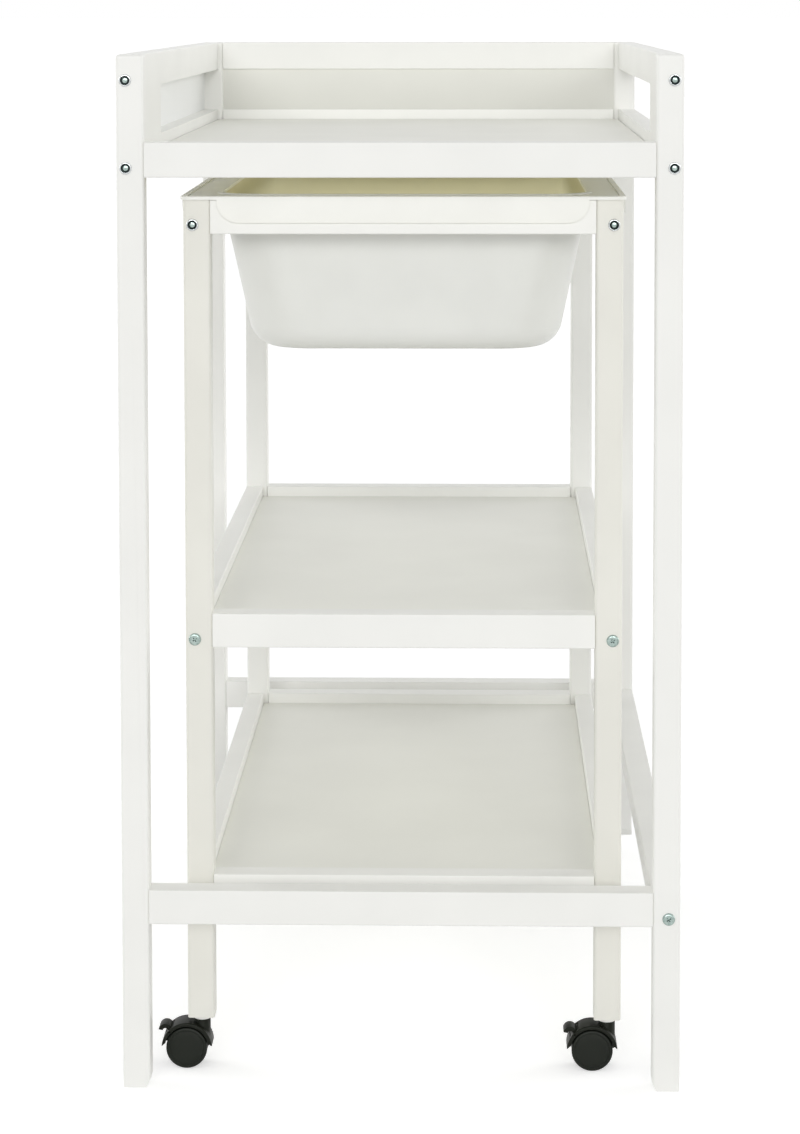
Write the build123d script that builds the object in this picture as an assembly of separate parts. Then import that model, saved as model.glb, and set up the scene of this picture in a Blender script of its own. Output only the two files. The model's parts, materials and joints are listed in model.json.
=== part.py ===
from build123d import *
import math
import os

# A changing table with a bath trolley. The outer frame carries the changing surface and
# stands on four posts. A trolley with two shelves and a lift-out bath tub stands inside it,
# on four twin-wheel casters, and rolls out of the open front side.
# Axes: X runs along the table, its right end is +X. Y runs from the front (-Y), where a
# parent stands and the trolley comes out, to the back (+Y). Z is up, the floor is at zero.
# All sizes are in millimetres.

# Outer frame
overall_length = 920
overall_width = 530
overall_height = 985
post_side = 26
post_edge_radius = 3
post_top_radius = 2.9
foot_taper_width = 4
foot_taper_height = 8
rail_height = 33
rail_edge_radius = 1.5
end_rail_thickness = 26
board_thickness = 20
side_rise = 82
low_rail_bottom = 159
back_rail_height = 25
slot_setback = 215
slot_corner_radius = 3

# Changing surface and the thin panels let into the raised sides
surface_drop = 12
surface_thickness = 8
surface_joint = 1.2
batten_side = 12
slot_panel_thickness = 2.4
slot_panel_setback = 0.6
end_panel_thickness = 4
end_panel_setback = 19.5
groove_depth = 5

# Trolley
trolley_end_gap = 60
trolley_side_gap = 55.2
trolley_top_gap = 24
trolley_foot = 50
trolley_shift_x = 5
trolley_shift_y = 1.8
shelf_pitch = 255
shelf_drop = 12
shelf_thickness = 8
shelf_tongue = 6
shelf_rebate = 2.5
shelf_joint = 0.3

# Bath tub
rim_thickness = 3.5
rim_corner_radius = 9
rim_edge_radius = 1.5
lip_width = 6
bead_width = 5
gutter_depth = 1.2
apron_thickness = 2.5
apron_gap = 0.4
end_apron_gap = 6.5
end_apron_depth = 22
end_apron_radius = 20.5
side_apron_depth = 15
side_apron_radius = 12
basin_end_flange = 38
basin_side_flange = 35.4
basin_mouth_radius = 40
basin_foot_radius = 60
basin_draft = 11
basin_floor_radius = 26
tub_depth = 155.5
tub_wall = 3

# Drain of the tub, at the left end, and its rubber plug
drain_inset = 120
drain_bore_radius = 13
drain_wall = 2.5
drain_fit = 0.2
drain_flange_radius = 22
drain_flange_thickness = 2
drain_tail = 14
drain_nut_radius = 21
drain_nut_thickness = 5
plug_gap = 0.3
plug_depth = 7
plug_cap_radius = 17
plug_cap_thickness = 3
plug_knob_radius = 5
plug_knob_height = 8
plug_edge_radius = 1.2

# Connector bolts with a domed hexagon-socket head, in threaded insert nuts
fastener_inset = 9
bolt_rise = 9
bolt_head_radius = 5.8
bolt_head_height = 2.4
bolt_dome_height = 3
bolt_shank_radius = 3
bolt_grip = 20
bolt_socket_radius = 2.7
bolt_socket_depth = 2
bolt_bore_gap = 0.2
insert_radius = 4.5
insert_length = 14
insert_gap = 0.1

# Cross-head screws with a low domed head
screw_rise = 8
back_screw_inset = 11
screw_head_radius = 6
screw_head_height = 2.2
screw_dome_height = 2.3
screw_shank_radius = 2.2
screw_grip = 32
screw_bore_gap = 0.1
cross_slot_width = 1.1
cross_slot_length = 4.4
cross_slot_depth = 1.7

# Casters: hooded, with two wheels on one axle and a brake lever
wheel_radius = 20
wheel_width = 7.5
wheel_edge_radius = 1.6
wheel_dish_radius = 15
wheel_dish_depth = 0.8
caster_width = 28
caster_trail = 14.5
hood_thickness = 3.3
hood_wheel_gap = 1.2
hood_skirt_rise = 1.5
hood_fin_height = 3
hood_edge_radius = 1.5
web_thickness = 11
web_drop = 6
web_inset = 2
axle_radius = 2.5
running_gap = 0.05
swivel_boss_radius = 8
bush_flange_thickness = 3.5
bush_radius = 5.5
bush_length = 30
bush_fit = 0.1
stem_radius = 3.5
stem_depth = 26
stem_chamfer = 0.5
lever_angle = 137
lever_spread = 24
lever_width = 18
lever_window_gap = 0.8
lever_inner_gap = 1.1
lever_top_gap = 0.4
lever_pin_radius = 1
lever_pin_depth = 2
tab_reach = 28
tab_low = 19.3
tab_high = 23.8
tab_root = 15
tab_round = 2.6
tab_edge_radius = 1

# How far every cut runs past the solid that it opens
overrun = 1

# Worked-out places of the outer frame
half_length = overall_length / 2
half_width = overall_width / 2
inner_x = half_length - post_side
inner_y = half_width - post_side
board_inner_y = half_width - board_thickness
changing_rail_top = overall_height - side_rise
changing_rail_bottom = changing_rail_top - rail_height
guard_bottom = overall_height - rail_height
surface_top = changing_rail_top - surface_drop
slot_end_x = half_length - slot_setback

# Worked-out places of the trolley
trolley_length = overall_length - 2 * trolley_end_gap
trolley_width = overall_width - 2 * trolley_side_gap
trolley_top = changing_rail_bottom - trolley_top_gap
mid_rail_bottom = low_rail_bottom + shelf_pitch
half_trolley_x = trolley_length / 2
half_trolley_y = trolley_width / 2
trolley_inner_x = half_trolley_x - post_side
trolley_inner_y = half_trolley_y - post_side
top_rail_bottom = trolley_top - rail_height
rail_levels = {"top": top_rail_bottom, "mid": mid_rail_bottom, "low": low_rail_bottom}
at_trolley = Pos(trolley_shift_x, trolley_shift_y, 0)

# Sides of the table by the names that the pieces use
ends = {"right": 1, "left": -1}
faces_y = {"front": -1, "back": 1}
corners = [(f"{fy}_{ex}", ends[ex], faces_y[fy]) for fy in faces_y for ex in ends]


def block(x0, x1, y0, y1, z0, z1):
    """A box between two corners, given in any order along X and Y."""
    size_x, size_y, size_z = abs(x1 - x0), abs(y1 - y0), abs(z1 - z0)
    return Pos((x0 + x1) / 2, (y0 + y1) / 2, (z0 + z1) / 2) * Box(size_x, size_y, size_z)


def rod_x(x0, x1, y, z, radius):
    """A round rod along X."""
    return Pos((x0 + x1) / 2, y, z) * Rot(0, 90, 0) * Cylinder(radius, abs(x1 - x0))


def rod_z(x, y, z0, z1, radius):
    """A round rod along Z."""
    return Pos(x, y, (z0 + z1) / 2) * Cylinder(radius, abs(z1 - z0))


def eased(solid, axis):
    """The same timber with the long edges along one axis rounded over."""
    return fillet(solid.edges().filter_by(axis), rail_edge_radius)


def square_post(x, y, z0, z1):
    """A square post with rounded edges and a rounded top."""
    section = RectangleRounded(post_side, post_side, post_edge_radius)
    solid = Pos(x, y, z0) * extrude(section, z1 - z0)
    return fillet(solid.faces().sort_by(Axis.Z)[-1].edges(), post_top_radius)


def foot_wedge(inward):
    """The wedge that tapers a foot on the side that faces inward, for a post at the origin."""
    reach = post_side / 2
    slope = Polyline(
        (reach - foot_taper_width, 0),
        (reach + overrun, 0),
        (reach + overrun, foot_taper_height),
        (reach, foot_taper_height),
        close=True,
    )
    face = make_face(Plane.XZ * slope)
    wedge = extrude(face, post_side / 2 + overrun, both=True)
    return Rot(0, 0, math.degrees(math.atan2(inward[1], inward[0]))) * wedge


# Fasteners. Each lies along X with its head on the outer face of a post, sx is the end.


def domed_head(sx, face_x, y, z, radius, dome_height, height):
    """A low domed head on the post's outer face, its dome cut flat at one height."""
    sphere_radius = (radius**2 + dome_height**2) / (2 * dome_height)
    centre = dome_height - sphere_radius
    middle = height / 2
    waist, flat = [math.sqrt(sphere_radius**2 - (x - centre) ** 2) for x in (middle, height)]
    profile = Polyline((height, flat), (height, 0), (0, 0), (0, radius))
    profile += ThreePointArc((0, radius), (middle, waist), (height, flat))
    head = revolve(make_face(profile), Axis.X)
    return Pos(sx * face_x, y, z) * Rot(0, 0, 90 - sx * 90) * head


def connector_bolt(sx, face_x, y, z):
    """A bolt whose domed head with a hexagon socket stands on the post's outer face."""
    radius, height = bolt_head_radius, bolt_head_height
    head = domed_head(sx, face_x, y, z, radius, bolt_dome_height, height)
    shank = rod_x(sx * face_x, sx * (face_x - post_side - bolt_grip), y, z, bolt_shank_radius)
    hexagon = extrude(RegularPolygon(bolt_socket_radius, 6), bolt_socket_depth, both=True)
    socket = Pos(sx * (face_x + height), y, z) * Rot(0, 90, 0) * hexagon
    return head + shank - socket


def bolt_bore(sx, face_x, y, z):
    """The hole that the bolt needs in the post and in the board behind it."""
    end = sx * (face_x - post_side - bolt_grip - overrun)
    return rod_x(sx * (face_x + overrun), end, y, z, bolt_shank_radius + bolt_bore_gap)


def insert_nut(sx, face_x, y, z):
    """The threaded sleeve in the board's end that the bolt pulls on."""
    start, end = face_x - post_side, face_x - post_side - insert_length
    sleeve = rod_x(sx * start, sx * end, y, z, insert_radius)
    bore_radius = bolt_shank_radius + insert_gap
    return sleeve - rod_x(sx * (start + overrun), sx * (end - overrun), y, z, bore_radius)


def insert_bore(sx, face_x, y, z):
    """The hole in the board's end for the sleeve."""
    start, end = face_x - post_side + overrun, face_x - post_side - insert_length
    return rod_x(sx * start, sx * end, y, z, insert_radius + insert_gap)


def cross_screw(sx, face_x, y, z):
    """A screw whose low domed head with a cross recess stands on the post's outer face."""
    radius, height = screw_head_radius, screw_head_height
    head = domed_head(sx, face_x, y, z, radius, screw_dome_height, height)
    shank = rod_x(sx * face_x, sx * (face_x - post_side - screw_grip), y, z, screw_shank_radius)
    depth = sx * (face_x + height - cross_slot_depth)
    out = sx * (face_x + height + overrun)
    half_long, half_wide = cross_slot_length / 2, cross_slot_width / 2
    slots = block(depth, out, y - half_long, y + half_long, z - half_wide, z + half_wide)
    slots += block(depth, out, y - half_wide, y + half_wide, z - half_long, z + half_long)
    return head + shank - slots


def screw_bore(sx, face_x, y, z):
    """The hole for the screw."""
    end = sx * (face_x - post_side - screw_grip - screw_bore_gap)
    return rod_x(sx * (face_x + overrun), end, y, z, screw_shank_radius + screw_bore_gap)


def placed(make, spots):
    """One solid for each spot, a spot being (sx, face_x, y, z)."""
    return [make(*spot) for spot in spots]


def cut_all(solid, cutters):
    """The solid with every cutter taken out."""
    for cutter in cutters:
        solid = solid - cutter
    return solid


# Outer frame


def frame_bolt_spots():
    """Two bolts a post: into the lower and the upper part of each side board."""
    y = half_width - fastener_inset
    heights = [changing_rail_bottom + bolt_rise, guard_bottom + bolt_rise]
    return [(sx, half_length, sy * y, z) for name, sx, sy in corners for z in heights]


def frame_screw_spots():
    """One screw at each end of the low back rail."""
    y = half_width - back_screw_inset
    return [(sx, half_length, y, low_rail_bottom + screw_rise) for sx in ends.values()]


def slot_panel():
    """The thin panel that closes the long slot of the front board, let into its outer face."""
    outer = -half_width + slot_panel_setback
    inner = outer + slot_panel_thickness
    low, high = changing_rail_top - groove_depth, guard_bottom + groove_depth
    return block(-inner_x, slot_end_x + groove_depth, outer, inner, low, high)


def slot_rebate():
    """The step in the front board's outer face that the slot panel lies in."""
    outer, inner = -half_width - overrun, -half_width + slot_panel_setback + slot_panel_thickness
    low, high = changing_rail_top - groove_depth, guard_bottom + groove_depth
    return block(-inner_x - overrun, slot_end_x + groove_depth, outer, inner, low, high)


def end_panel():
    """The thin panel that closes the gap under the guard rail of the left end."""
    outer = -half_length + end_panel_setback
    low, high = changing_rail_top - groove_depth, guard_bottom + groove_depth
    reach = inner_y + groove_depth
    return block(outer, outer + end_panel_thickness, -reach, reach, low, high)


def frame_posts():
    """The four posts that stand on the floor, with their bolt holes."""
    cutters = placed(bolt_bore, frame_bolt_spots()) + placed(screw_bore, frame_screw_spots())
    cutters.append(end_panel())
    posts = {}
    for name, sx, sy in corners:
        x, y = sx * (half_length - post_side / 2), sy * (half_width - post_side / 2)
        post = square_post(x, y, 0, overall_height)
        post -= Pos(x, y, 0) * foot_wedge((-sx, 0))
        post -= Pos(x, y, 0) * foot_wedge((0, -sy))
        posts[f"post_{name}"] = cut_all(post, cutters)
    return posts


def end_rail(sx, z0, z1):
    """A rail across one end, between the posts and flush with their outer faces."""
    rail = block(sx * (half_length - end_rail_thickness), sx * half_length, -inner_y, inner_y, z0, z1)
    return eased(rail, Axis.Y)


def frame_rails():
    """The rails across the two ends and the low rail along the back."""
    low_top = low_rail_bottom + rail_height
    back_top = low_rail_bottom + back_rail_height
    rails = {}
    for name, sx in ends.items():
        rails[f"changing_rail_{name}"] = end_rail(sx, changing_rail_bottom, changing_rail_top)
        rails[f"low_rail_{name}"] = end_rail(sx, low_rail_bottom, low_top)
    rails["guard_rail_left"] = end_rail(ends["left"], guard_bottom, overall_height)
    for name in ("changing_rail_left", "guard_rail_left"):
        rails[name] = rails[name] - end_panel()
    back_y = half_width - end_rail_thickness
    back = block(-inner_x, inner_x, back_y, half_width, low_rail_bottom, back_top)
    rails["low_rail_back"] = cut_all(eased(back, Axis.X), placed(screw_bore, frame_screw_spots()))
    return rails


def side_board(sy):
    """A long raised side, one board whose slot runs from near the right end to the left post."""
    inner, outer = sy * board_inner_y, sy * half_width
    board = block(-inner_x, inner_x, inner, outer, changing_rail_bottom, overall_height)
    board = eased(board, Axis.X)
    low, high = changing_rail_top, guard_bottom
    near, far = sy * (board_inner_y - overrun), sy * (half_width + overrun)
    slot = block(-inner_x - overrun, slot_end_x, near, far, low, high)
    slot = fillet(slot.edges().filter_by(Axis.Y).sort_by(Axis.X)[-2:], slot_corner_radius)
    board = board - slot
    spots = frame_bolt_spots()
    return cut_all(board, placed(bolt_bore, spots) + placed(insert_bore, spots))


def changing_top():
    """The flat board that the changing mat lies on."""
    x, y = inner_x - surface_joint, board_inner_y - surface_joint
    return block(-x, x, -y, y, surface_top - surface_thickness, surface_top)


def top_battens():
    """Four battens round the inside of the rails, which carry the changing top."""
    top = surface_top - surface_thickness
    bottom = top - batten_side
    end_y = board_inner_y - batten_side
    battens = []
    for sy in faces_y.values():
        battens.append(block(-inner_x, inner_x, sy * end_y, sy * board_inner_y, bottom, top))
    for sx in ends.values():
        battens.append(block(sx * (inner_x - batten_side), sx * inner_x, -end_y, end_y, bottom, top))
    return battens


# Trolley. It is drawn round its own middle and moved to its place when written.


def trolley_bolt_spots():
    """One connector bolt at each corner, into the long top rails."""
    y = half_trolley_y - fastener_inset
    z = top_rail_bottom + bolt_rise
    return [(sx, half_trolley_x, sy * y, z) for name, sx, sy in corners]


def trolley_screw_spots():
    """One cross-head screw at each corner, into the long rails of the middle shelf."""
    y = half_trolley_y - fastener_inset
    z = mid_rail_bottom + screw_rise
    return [(sx, half_trolley_x, sy * y, z) for name, sx, sy in corners]


def shelf_board(level):
    """A shelf between its rails, with a tongue all round in their grooves, notched at the posts."""
    top = rail_levels[level] + rail_height - shelf_drop
    bottom = top - shelf_thickness
    x, y = half_trolley_x - end_rail_thickness, half_trolley_y - board_thickness
    face_x, face_y = x - shelf_joint, y - shelf_joint
    tongue_x, tongue_y = x + shelf_tongue, y + shelf_tongue
    tongue = block(-tongue_x, tongue_x, -tongue_y, tongue_y, bottom, top - shelf_rebate)
    shelf = block(-face_x, face_x, -face_y, face_y, bottom, top) + tongue
    notch_x, notch_y = trolley_inner_x - shelf_joint, trolley_inner_y - shelf_joint
    end_x, end_y = tongue_x + overrun, tongue_y + overrun
    for name, sx, sy in corners:
        low, high = bottom - overrun, top + overrun
        shelf -= block(sx * notch_x, sx * end_x, sy * notch_y, sy * end_y, low, high)
    return shelf


def trolley_posts():
    """The four posts of the trolley, bored for the bolts, the screws and the caster bushes."""
    cutters = placed(bolt_bore, trolley_bolt_spots()) + placed(screw_bore, trolley_screw_spots())
    posts = {}
    for name, sx, sy in corners:
        x, y = sx * (half_trolley_x - post_side / 2), sy * (half_trolley_y - post_side / 2)
        section = RectangleRounded(post_side, post_side, post_edge_radius)
        post = Pos(x, y, trolley_foot) * extrude(section, trolley_top - trolley_foot)
        bore_top = trolley_foot + bush_length + bush_fit
        post -= rod_z(x, y, trolley_foot - overrun, bore_top, bush_radius + bush_fit)
        posts[f"trolley_post_{name}"] = cut_all(post, cutters)
    return posts


def trolley_rails():
    """Three rings of rails: under the tub rim and round each shelf."""
    screws = placed(screw_bore, trolley_screw_spots())
    bolts = placed(bolt_bore, trolley_bolt_spots()) + placed(insert_bore, trolley_bolt_spots())
    rails = {}
    for level, bottom in rail_levels.items():
        ring = "tub" if level == "top" else f"{level}_shelf"
        for name, sx in ends.items():
            near, far = sx * (half_trolley_x - end_rail_thickness), sx * half_trolley_x
            rail = block(near, far, -trolley_inner_y, trolley_inner_y, bottom, bottom + rail_height)
            rails[f"{ring}_rail_{name}"] = eased(rail, Axis.Y)
        for name, sy in faces_y.items():
            near, far = sy * (half_trolley_y - board_thickness), sy * half_trolley_y
            rail = block(-trolley_inner_x, trolley_inner_x, near, far, bottom, bottom + rail_height)
            rails[f"{ring}_rail_{name}"] = cut_all(eased(rail, Axis.X), screws + bolts)
    for level in ("mid", "low"):
        for side in list(ends) + list(faces_y):
            rails[f"{level}_shelf_rail_{side}"] -= shelf_board(level)
    return rails


# Bath tub, drawn round the trolley's middle, with its rim on the trolley's posts and rails

overhang = apron_gap + apron_thickness
rim_half_x = half_trolley_x + overhang
rim_half_y = half_trolley_y + overhang
rim_top = trolley_top + rim_thickness
basin_half_x = rim_half_x - basin_end_flange
basin_half_width = rim_half_y - basin_side_flange
end_apron_half_width = trolley_inner_y - end_apron_gap
drain_x = -basin_half_x + drain_inset
tub_bottom = rim_top - tub_depth
floor_top = tub_bottom + tub_wall


def plate(half_x, half_y, radius, z0, z1):
    """A flat plate with rounded corners."""
    return Pos(0, 0, z0) * extrude(RectangleRounded(2 * half_x, 2 * half_y, radius), z1 - z0)


def basin_outline(growth, inset, radius, level):
    """The basin's outline at one level, grown outward by a wall and drawn in by the draft."""
    half_x, half_y = basin_half_x + growth - inset, basin_half_width + growth - inset
    return Pos(0, 0, level) * RectangleRounded(2 * half_x, 2 * half_y, radius + growth)


def basin_form(growth, bottom, floor_radius):
    """The basin's drafted form, grown outward by a wall, down to one level."""
    inset = (rim_top - bottom) * math.tan(math.radians(basin_draft))
    mouth = basin_outline(growth, 0, basin_mouth_radius, rim_top)
    foot = basin_outline(growth, inset, basin_foot_radius, bottom)
    form = loft([foot, mouth], ruled=True)
    return fillet(form.faces().sort_by(Axis.Z)[0].edges(), floor_radius)


def apron(half_run, depth, radius, distance):
    """A skirt below the rim, facing +X at one distance from the middle, lower corners round."""
    outline = Pos(0, -depth / 2) * Rectangle(2 * half_run, depth)
    outline = fillet(outline.vertices().sort_by(Axis.Y)[:2], radius)
    skirt = extrude(Plane.YZ * outline, apron_thickness)
    return Pos(distance - apron_thickness, 0, trolley_top) * skirt


def bath_tub():
    """The moulded tub: drafted basin, flat rim with a gutter between two beads, four aprons."""
    rim = plate(rim_half_x, rim_half_y, rim_corner_radius, trolley_top, rim_top)
    rim = fillet(rim.faces().sort_by(Axis.Z)[-1].edges(), rim_edge_radius)
    lip = rim_corner_radius - lip_width
    low, high = rim_top - gutter_depth, rim_top + overrun
    gutter = plate(rim_half_x - lip_width, rim_half_y - lip_width, lip, low, high)
    bead_x, bead_y = basin_half_x + bead_width, basin_half_width + bead_width
    gutter -= plate(bead_x, bead_y, basin_mouth_radius + bead_width, low - overrun, high + overrun)
    tub = rim - gutter + basin_form(tub_wall, tub_bottom, basin_floor_radius + tub_wall)
    for turn in (0, 180):
        end_skirt = apron(end_apron_half_width, end_apron_depth, end_apron_radius, rim_half_x)
        side_skirt = apron(trolley_inner_x, side_apron_depth, side_apron_radius, rim_half_y)
        tub += Rot(0, 0, turn) * end_skirt
        tub += Rot(0, 0, turn + 90) * side_skirt
    mouth = extrude(basin_outline(0, 0, basin_mouth_radius, rim_top), overrun)
    tub = tub - basin_form(0, floor_top, basin_floor_radius) - mouth
    hole = drain_bore_radius + drain_wall + drain_fit
    return tub - rod_z(drain_x, 0, tub_bottom - overrun, floor_top + overrun, hole)


def drain_fitting():
    """A flanged outlet through the tub's floor."""
    neck = drain_bore_radius + drain_wall
    outlet = rod_z(drain_x, 0, tub_bottom - drain_tail, floor_top, neck)
    flange = rod_z(drain_x, 0, floor_top, floor_top + drain_flange_thickness, drain_flange_radius)
    top_edge = flange.edges().filter_by(GeomType.CIRCLE).sort_by(Axis.Z)[-1]
    outlet = outlet + fillet(top_edge, plug_edge_radius)
    flange_top = floor_top + drain_flange_thickness + overrun
    return outlet - rod_z(drain_x, 0, tub_bottom - drain_tail - overrun, flange_top, drain_bore_radius)


def drain_nut():
    """The octagonal nut that clamps the outlet from below."""
    neck = drain_bore_radius + drain_wall
    nut_bottom = tub_bottom - drain_nut_thickness
    octagon = RegularPolygon(drain_nut_radius, 8)
    nut = Pos(drain_x, 0, nut_bottom) * extrude(octagon, drain_nut_thickness)
    return nut - rod_z(drain_x, 0, nut_bottom - overrun, tub_bottom + overrun, neck + drain_fit)


def drain_plug():
    """A rubber plug with a finger knob, which rests with its cap on the outlet's flange."""
    seat = floor_top + drain_flange_thickness
    stopper = rod_z(drain_x, 0, seat - plug_depth, seat, drain_bore_radius - plug_gap)
    cap = rod_z(drain_x, 0, seat, seat + plug_cap_thickness, plug_cap_radius)
    cap = fillet(cap.edges().filter_by(GeomType.CIRCLE).sort_by(Axis.Z)[-1], plug_edge_radius)
    knob_top = seat + plug_cap_thickness + plug_knob_height
    knob = rod_z(drain_x, 0, seat, knob_top, plug_knob_radius)
    knob = fillet(knob.edges().filter_by(GeomType.CIRCLE).sort_by(Axis.Z)[-1], plug_edge_radius)
    return stopper + cap + knob


# Casters. Each is drawn with its swivel axis on the Z axis and its wheels trailing to -Y.

boss_top = trolley_foot - bush_flange_thickness
hood_inner = wheel_radius + hood_wheel_gap
hood_outer = hood_inner + hood_thickness
wheel_y = -caster_trail


def axle_disc(x0, x1, radius):
    """A disc or rod on the wheel axle."""
    return rod_x(x0, x1, wheel_y, wheel_radius, radius)


def polar(radius, angle):
    """A point round the axle in the plane of the wheels, angle counted from +Y upward."""
    turn = math.radians(angle)
    return (wheel_y + radius * math.cos(turn), wheel_radius + radius * math.sin(turn))


def ring_sector(inner, outer, start, end, half_x):
    """A part of a ring round the axle, between two angles."""
    profile = Polyline(polar(inner, start), polar(outer, start))
    profile += ThreePointArc(polar(outer, start), polar(outer, (start + end) / 2), polar(outer, end))
    profile += Polyline(polar(outer, end), polar(inner, end))
    profile += ThreePointArc(polar(inner, end), polar(inner, (start + end) / 2), polar(inner, start))
    return extrude(Plane.YZ * make_face(profile), half_x, both=True)


def caster_hood():
    """The hood over both wheels, with the web that holds the axle and the swivel boss."""
    half = caster_width / 2
    half_web = web_thickness / 2
    skirt = wheel_radius + hood_skirt_rise
    near, far = wheel_y - hood_outer, wheel_y + hood_outer
    fin_top, top = skirt + hood_fin_height, wheel_radius + hood_outer
    above = Polyline(
        (near, skirt),
        (near + hood_thickness, fin_top),
        (far - hood_thickness, fin_top),
        (far, skirt),
        (far, top),
        (near, top),
        close=True,
    )
    above = extrude(Plane.YZ * make_face(above), half, both=True)
    arch = (axle_disc(-half, half, hood_outer) - axle_disc(-half, half, hood_inner)) & above
    arch = fillet(arch.edges().filter_by(GeomType.CIRCLE).sort_by(Axis.Z)[-2:], hood_edge_radius)
    web = axle_disc(-half_web, half_web, hood_inner + hood_thickness / 2)
    web &= block(-half_web, half_web, near, far, fin_top, boss_top)
    web_low = wheel_radius - web_drop
    hub = axle_disc(-half_web, half_web, wheel_radius - web_inset)
    web += hub & block(-half_web, half_web, near, far, web_low, fin_top)
    boss = rod_z(0, 0, wheel_radius, boss_top, swivel_boss_radius)
    for sx in ends.values():
        boss -= axle_disc(sx * half_web, sx * half, hood_inner)
    hood = arch + web + boss
    spread = lever_spread / 2
    gap_angle = math.degrees(lever_window_gap / hood_inner)
    start, end = lever_angle - spread - gap_angle, lever_angle + spread + gap_angle
    window_low = hood_inner - hood_thickness
    window_half = lever_width / 2 + lever_window_gap / 2
    hood -= ring_sector(window_low, hood_outer + overrun, start, end, window_half)
    pin_y, pin_z = lever_pivot()
    hood -= rod_x(-half - overrun, half + overrun, pin_y, pin_z, lever_pin_radius + running_gap)
    hood -= rod_z(0, 0, boss_top - stem_depth, boss_top + overrun, stem_radius + running_gap)
    return hood - axle_disc(-half, half, axle_radius + running_gap)


def lever_pivot():
    """Y and Z of the brake lever's pin, in the middle of the hood's thickness."""
    return polar(hood_inner + hood_thickness / 2, lever_angle)


def caster_wheels():
    """Two wheels and the axle that turns in the hood's web."""
    half = caster_width / 2
    solids = []
    for sx in ends.values():
        wheel = axle_disc(sx * (half - wheel_width), sx * half, wheel_radius)
        wheel = fillet(wheel.edges().filter_by(GeomType.CIRCLE), wheel_edge_radius)
        wheel -= axle_disc(sx * (half - wheel_dish_depth), sx * (half + overrun), wheel_dish_radius)
        bore_start = sx * (half - 2 * wheel_dish_depth)
        bore_end = sx * (half - wheel_width - overrun)
        solids.append(wheel - axle_disc(bore_start, bore_end, axle_radius + running_gap))
    reach = half - 2 * wheel_dish_depth
    solids.append(axle_disc(-reach, reach, axle_radius))
    return solids


def brake_lever():
    """The foot lever: a shoe in the hood's window, a tab to tread on and two pin ends."""
    inner = wheel_radius + lever_inner_gap
    outer = hood_outer - lever_top_gap
    spread = lever_spread / 2
    start, end = lever_angle - spread, lever_angle + spread
    half = lever_width / 2
    shoe = ring_sector(inner, outer, start, end, half)
    root = polar(outer - lever_top_gap, lever_angle + spread / 2)
    heel = polar(outer - lever_top_gap, start + spread / 2)
    low, high = wheel_radius + tab_low, wheel_radius + tab_high
    tip, shoulder = wheel_y - tab_reach, wheel_y - tab_root
    profile = Polyline(
        root,
        (tip + hood_thickness, low),
        (tip, low),
        (tip, high - tab_round),
        (tip + tab_round, high),
        (shoulder - hood_thickness, high),
        (shoulder, high - hood_thickness),
        heel,
        close=True,
    )
    side = make_face(profile)
    side = fillet(side.vertices(), tab_edge_radius)
    tab = extrude(Plane.YZ * side, half, both=True)
    pin_y, pin_z = lever_pivot()
    pins = rod_x(-half - lever_pin_depth, half + lever_pin_depth, pin_y, pin_z, lever_pin_radius)
    return shoe + tab + pins


def caster_spots():
    """The swivel axes, one under each trolley post."""
    x, y = half_trolley_x - post_side / 2, half_trolley_y - post_side / 2
    return {name: (sx * x, sy * y) for name, sx, sy in corners}


def caster_bush(x, y):
    """The white plastic bush in the foot of a post, with a flange that the boss turns on."""
    bush = rod_z(x, y, trolley_foot, trolley_foot + bush_length, bush_radius)
    bush += rod_z(x, y, boss_top, trolley_foot, swivel_boss_radius)
    low, high = boss_top - overrun, trolley_foot + bush_length + overrun
    return bush - rod_z(x, y, low, high, stem_radius + running_gap)


def caster_stem(x, y):
    """The steel stem that a caster turns on."""
    stem = rod_z(x, y, boss_top - stem_depth, trolley_foot + bush_length, stem_radius)
    return chamfer(stem.edges().filter_by(GeomType.CIRCLE), stem_chamfer)


def outer_frame():
    """Every node of the outer frame."""
    bolts, screws = frame_bolt_spots(), frame_screw_spots()
    nodes = frame_posts()
    nodes.update(frame_rails())
    nodes["side_board_front"] = side_board(faces_y["front"]) - slot_rebate()
    nodes["side_board_back"] = side_board(faces_y["back"])
    nodes["slot_panel_front"] = slot_panel()
    nodes["end_panel_left"] = end_panel()
    nodes["changing_top"] = changing_top()
    nodes["top_battens"] = top_battens()
    nodes["frame_connector_bolts"] = placed(connector_bolt, bolts)
    nodes["frame_insert_nuts"] = placed(insert_nut, bolts)
    nodes["frame_rail_screws"] = placed(cross_screw, screws)
    return nodes


def trolley():
    """Every node of the trolley, its tub and its casters, round the trolley's middle."""
    nodes = trolley_posts()
    nodes.update(trolley_rails())
    nodes["mid_shelf"] = shelf_board("mid")
    nodes["low_shelf"] = shelf_board("low")
    nodes["trolley_connector_bolts"] = placed(connector_bolt, trolley_bolt_spots())
    nodes["trolley_insert_nuts"] = placed(insert_nut, trolley_bolt_spots())
    nodes["trolley_shelf_screws"] = placed(cross_screw, trolley_screw_spots())
    nodes["bath_tub"] = bath_tub()
    nodes["drain_fitting"] = drain_fitting()
    nodes["drain_nut"] = drain_nut()
    nodes["drain_plug"] = drain_plug()
    spots = caster_spots()
    nodes["caster_stems"] = [caster_stem(x, y) for x, y in spots.values()]
    nodes["caster_bushes"] = [caster_bush(x, y) for x, y in spots.values()]
    for name, (x, y) in spots.items():
        nodes[f"caster_hood_{name}"] = Pos(x, y, 0) * caster_hood()
        nodes[f"caster_wheels_{name}"] = [Pos(x, y, 0) * wheel for wheel in caster_wheels()]
        nodes[f"caster_brake_{name}"] = Pos(x, y, 0) * brake_lever()
    return nodes


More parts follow.
